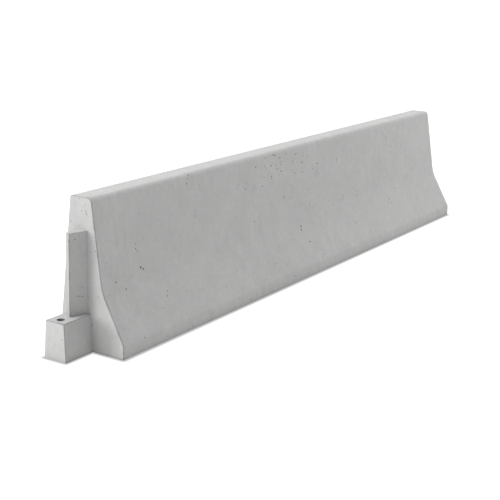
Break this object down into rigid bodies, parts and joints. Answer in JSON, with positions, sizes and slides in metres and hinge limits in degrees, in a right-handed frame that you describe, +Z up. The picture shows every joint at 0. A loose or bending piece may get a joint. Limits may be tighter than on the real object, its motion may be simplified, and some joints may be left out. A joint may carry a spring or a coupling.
{
  "type": "precast concrete road barrier",
  "caption": "Precast concrete road barrier with a sloped safety face and upright back, a tongue and holed foot at its near end, and a matching groove and pocket at its far end.",
  "frame": {"origin": "middle of the base, centred on the whole unit's length and width, on the ground", "axes": "+X along the unit from the tongue end to the groove end, +Y from the traffic side to the back, +Z up"},
  "size_m": [4.2, 0.4317, 0.81],
  "materials": {
    "cast_concrete": "smooth cast concrete with fine pores and bug holes",
    "sleeve_plastic": "grey plastic tube, cement stained",
    "dowel_steel": "hot dip galvanised",
    "plate_steel": "hot dip galvanised, dull",
    "rebar_steel": "hot rolled bar with light rust",
    "spacer_plastic": "moulded plastic"
  },
  "bodies": {
    "root": {"concrete_body": "cast_concrete", "foot_hole_sleeve": "sleeve_plastic", "coupling_dowel": "dowel_steel", "dowel_anchor_plate": "plate_steel", "dowel_anchor_studs": "plate_steel", "top_bars": "rebar_steel", "web_bars": "rebar_steel", "base_bars": "rebar_steel", "stirrups": "rebar_steel", "end_links": "rebar_steel", "groove_hairpins": "rebar_steel", "tongue_hairpins": "rebar_steel", "tongue_uprights": "rebar_steel", "foot_hairpins": "rebar_steel", "foot_links": "rebar_steel", "spacer_wheels": "spacer_plastic"}
  },
  "joints": []
}
